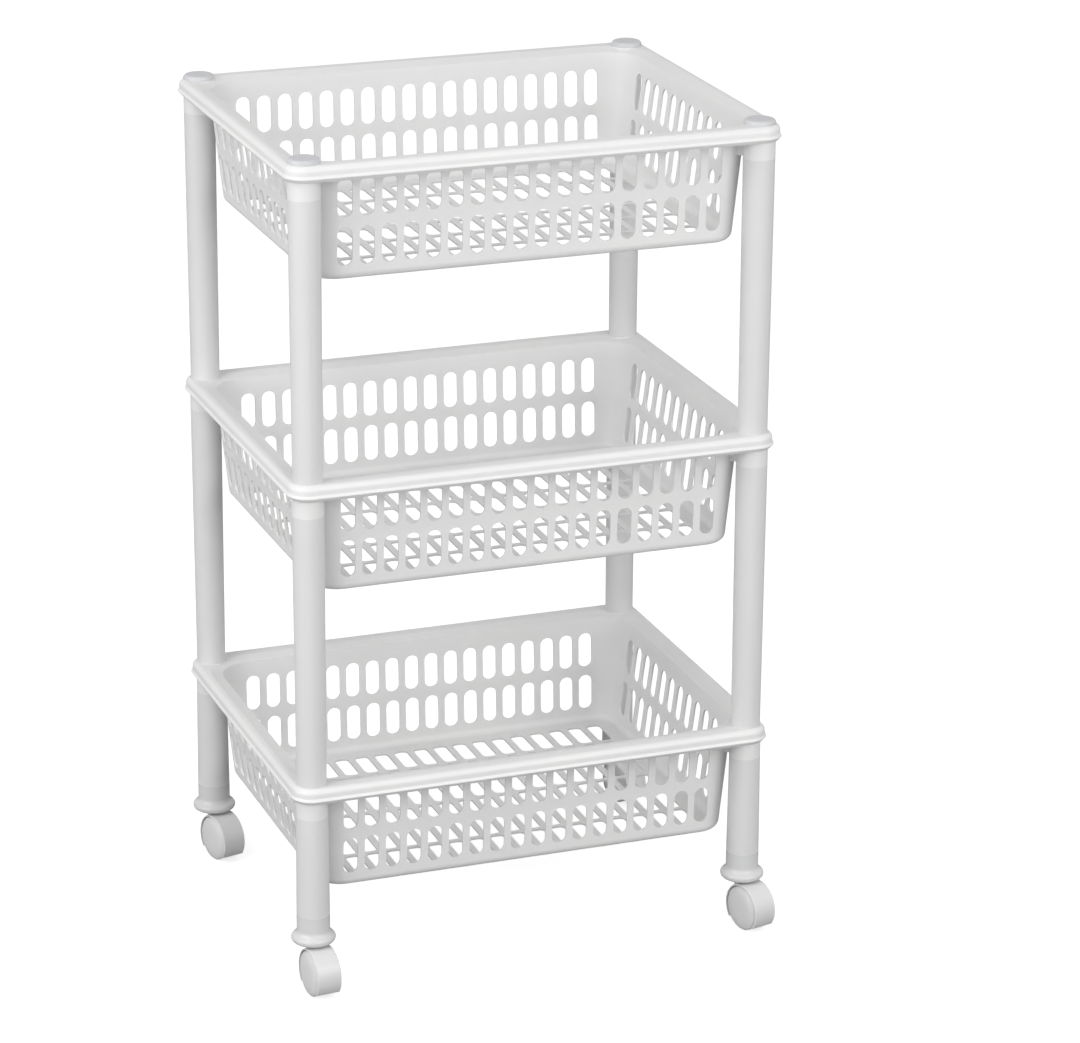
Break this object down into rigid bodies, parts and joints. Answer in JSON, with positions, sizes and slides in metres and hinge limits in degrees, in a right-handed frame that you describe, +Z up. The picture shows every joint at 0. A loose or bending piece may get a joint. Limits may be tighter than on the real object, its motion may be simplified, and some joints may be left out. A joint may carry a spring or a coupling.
{
  "type": "rolling pantry cart",
  "caption": "Tall rolling cart with three slotted plastic baskets plugged together by corner posts, on swivelling twin-wheel casters.",
  "frame": {"origin": "on the floor, midway between the four posts", "axes": "+Z up, +X along the baskets' long side to the right, +Y to the back; the front is -Y"},
  "size_m": [0.4167, 0.3438, 0.7009],
  "materials": {
    "basket_plastic": "satin moulded polypropylene, near-white",
    "tube_plastic": "satin moulded polypropylene, near-white",
    "cap_plastic": "satin moulded polypropylene, cool light grey",
    "foot_plastic": "glossier moulded polypropylene, near-white",
    "hood_plastic": "moulded nylon, near-white",
    "wheel_plastic": "moulded nylon, near-white",
    "steel": "zinc-plated turned steel"
  },
  "bodies": {
    "frame": {"basket_bottom": "basket_plastic", "basket_middle": "basket_plastic", "basket_top": "basket_plastic", "tube_lower_front_left": "tube_plastic", "tube_upper_front_left": "tube_plastic", "leg_front_left": "tube_plastic", "cap_front_left": "cap_plastic", "foot_front_left": "foot_plastic", "tube_lower_front_right": "tube_plastic", "tube_upper_front_right": "tube_plastic", "leg_front_right": "tube_plastic", "cap_front_right": "cap_plastic", "foot_front_right": "foot_plastic", "tube_lower_back_left": "tube_plastic", "tube_upper_back_left": "tube_plastic", "leg_back_left": "tube_plastic", "cap_back_left": "cap_plastic", "foot_back_left": "foot_plastic", "tube_lower_back_right": "tube_plastic", "tube_upper_back_right": "tube_plastic", "leg_back_right": "tube_plastic", "cap_back_right": "cap_plastic", "foot_back_right": "foot_plastic"},
    "swivel_front_left": {"hood_front_left": "hood_plastic", "stem_front_left": "steel", "grip_ring_front_left": "steel", "axle_front_left": "steel"},
    "roller_left_front_left": {"wheel_left_front_left": "wheel_plastic"},
    "roller_right_front_left": {"wheel_right_front_left": "wheel_plastic"},
    "swivel_front_right": {"hood_front_right": "hood_plastic", "stem_front_right": "steel", "grip_ring_front_right": "steel", "axle_front_right": "steel"},
    "roller_left_front_right": {"wheel_left_front_right": "wheel_plastic"},
    "roller_right_front_right": {"wheel_right_front_right": "wheel_plastic"},
    "swivel_back_left": {"hood_back_left": "hood_plastic", "stem_back_left": "steel", "grip_ring_back_left": "steel", "axle_back_left": "steel"},
    "roller_left_back_left": {"wheel_left_back_left": "wheel_plastic"},
    "roller_right_back_left": {"wheel_right_back_left": "wheel_plastic"},
    "swivel_back_right": {"hood_back_right": "hood_plastic", "stem_back_right": "steel", "grip_ring_back_right": "steel", "axle_back_right": "steel"},
    "roller_left_back_right": {"wheel_left_back_right": "wheel_plastic"},
    "roller_right_back_right": {"wheel_right_back_right": "wheel_plastic"}
  },
  "joints": [
    {"name": "swivel_joint_front_left", "type": "hinge", "parent": "frame", "child": "swivel_front_left", "pos_m": [-0.19, -0.145, 0.0414], "axis": [0, 0, 1], "continuous": true},
    {"name": "roll_joint_left_front_left", "type": "hinge", "parent": "swivel_front_left", "child": "roller_left_front_left", "pos_m": [-0.1888, -0.15794, 0.019], "axis": [0.9957, 0.0924, 0], "continuous": true},
    {"name": "roll_joint_right_front_left", "type": "hinge", "parent": "swivel_front_left", "child": "roller_right_front_left", "pos_m": [-0.1888, -0.15794, 0.019], "axis": [0.9957, 0.0924, 0], "continuous": true},
    {"name": "swivel_joint_front_right", "type": "hinge", "parent": "frame", "child": "swivel_front_right", "pos_m": [0.19, -0.145, 0.0414], "axis": [0, 0, 1], "continuous": true},
    {"name": "roll_joint_left_front_right", "type": "hinge", "parent": "swivel_front_right", "child": "roller_left_front_right", "pos_m": [0.19325, -0.15759, 0.019], "axis": [0.9681, 0.2504, 0], "continuous": true},
    {"name": "roll_joint_right_front_right", "type": "hinge", "parent": "swivel_front_right", "child": "roller_right_front_right", "pos_m": [0.19325, -0.15759, 0.019], "axis": [0.9681, 0.2504, 0], "continuous": true},
    {"name": "swivel_joint_back_left", "type": "hinge", "parent": "frame", "child": "swivel_back_left", "pos_m": [-0.19, 0.145, 0.0414], "axis": [0, 0, 1], "continuous": true},
    {"name": "roll_joint_left_back_left", "type": "hinge", "parent": "swivel_back_left", "child": "roller_left_back_left", "pos_m": [-0.18677, 0.13241, 0.019], "axis": [0.9686, 0.2487, 0], "continuous": true},
    {"name": "roll_joint_right_back_left", "type": "hinge", "parent": "swivel_back_left", "child": "roller_right_back_left", "pos_m": [-0.18677, 0.13241, 0.019], "axis": [0.9686, 0.2487, 0], "continuous": true},
    {"name": "swivel_joint_back_right", "type": "hinge", "parent": "frame", "child": "swivel_back_right", "pos_m": [0.19, 0.145, 0.0414], "axis": [0, 0, 1], "continuous": true},
    {"name": "roll_joint_left_back_right", "type": "hinge", "parent": "swivel_back_right", "child": "roller_left_back_right", "pos_m": [0.19226, 0.1322, 0.019], "axis": [0.9848, 0.1736, 0], "continuous": true},
    {"name": "roll_joint_right_back_right", "type": "hinge", "parent": "swivel_back_right", "child": "roller_right_back_right", "pos_m": [0.19226, 0.1322, 0.019], "axis": [0.9848, 0.1736, 0], "continuous": true}
  ]
}
